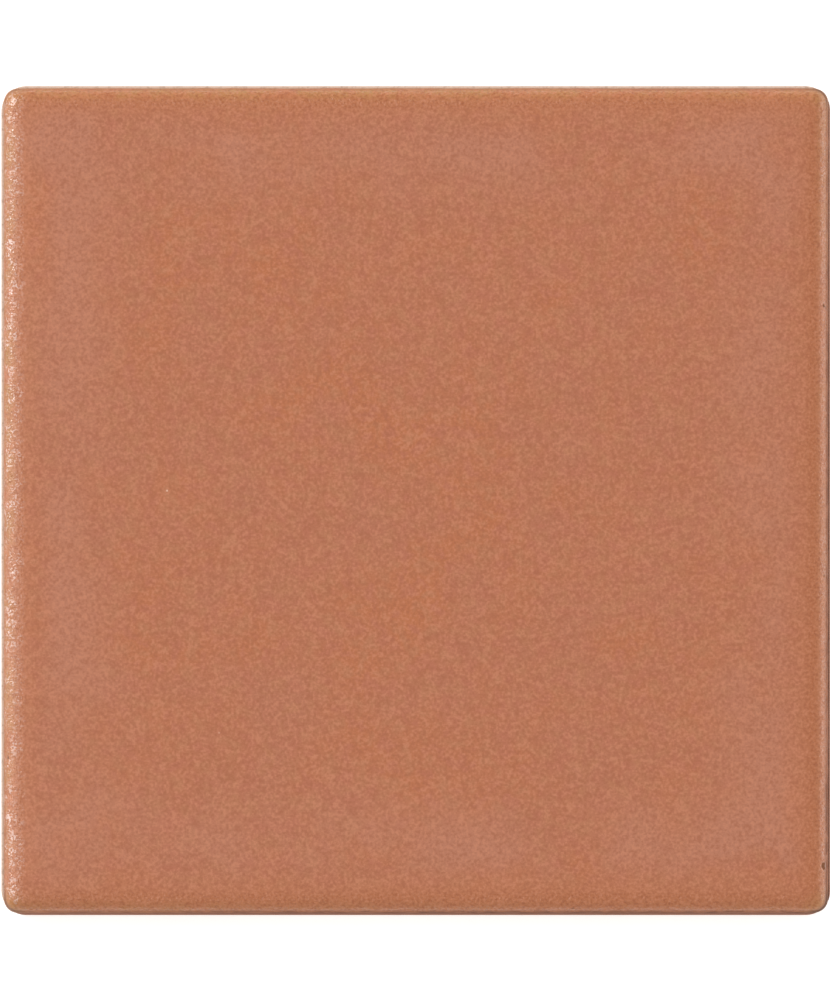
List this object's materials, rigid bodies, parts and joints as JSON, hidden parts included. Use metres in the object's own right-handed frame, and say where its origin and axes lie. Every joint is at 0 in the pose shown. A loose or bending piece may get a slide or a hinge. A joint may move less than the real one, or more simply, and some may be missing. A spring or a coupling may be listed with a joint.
{
  "type": "square tile",
  "caption": "Square glazed ceramic wall tile with a rolled face edge, spacer ledges along its sides and a keyed waffle back.",
  "frame": {"origin": "middle of the back, on the plane of the back's ribs, where the tile rests on a level floor", "axes": "+Z out of the glazed face, X and Y along the sides"},
  "size_m": [0.1, 0.1, 0.007],
  "materials": {
    "glazed_tile": "satin"
  },
  "bodies": {
    "root": {"square_tile": "glazed_tile"}
  },
  "joints": []
}
